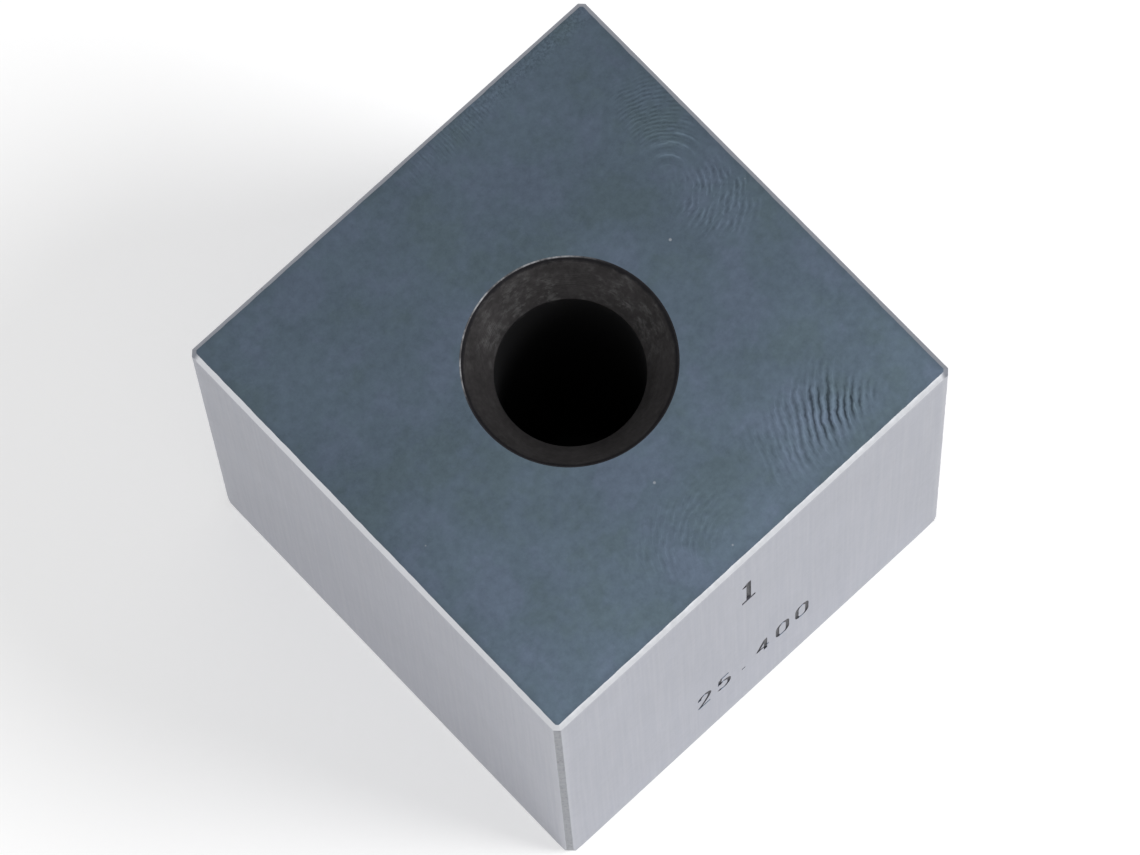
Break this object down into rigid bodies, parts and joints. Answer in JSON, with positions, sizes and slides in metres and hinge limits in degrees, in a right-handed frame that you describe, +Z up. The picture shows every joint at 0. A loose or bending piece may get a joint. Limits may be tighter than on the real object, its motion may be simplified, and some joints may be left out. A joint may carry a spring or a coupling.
{
  "type": "machinist setup block",
  "caption": "Square-form hardened steel block with lapped gauging faces, ground sides, fine edge chamfers and a central tie-rod hole countersunk at each end, for setting heights.",
  "frame": {"origin": "centre of the lower gauging face", "axes": "+Z up the tie-rod hole's axis to the upper gauging face, -Y out of the marked side"},
  "size_m": [0.0242, 0.0242, 0.0254],
  "materials": {
    "hardened_steel": "ground satin sides, lapped upper and lower faces, blackened bore"
  },
  "bodies": {
    "root": {"setup_block": "hardened_steel"}
  },
  "joints": []
}
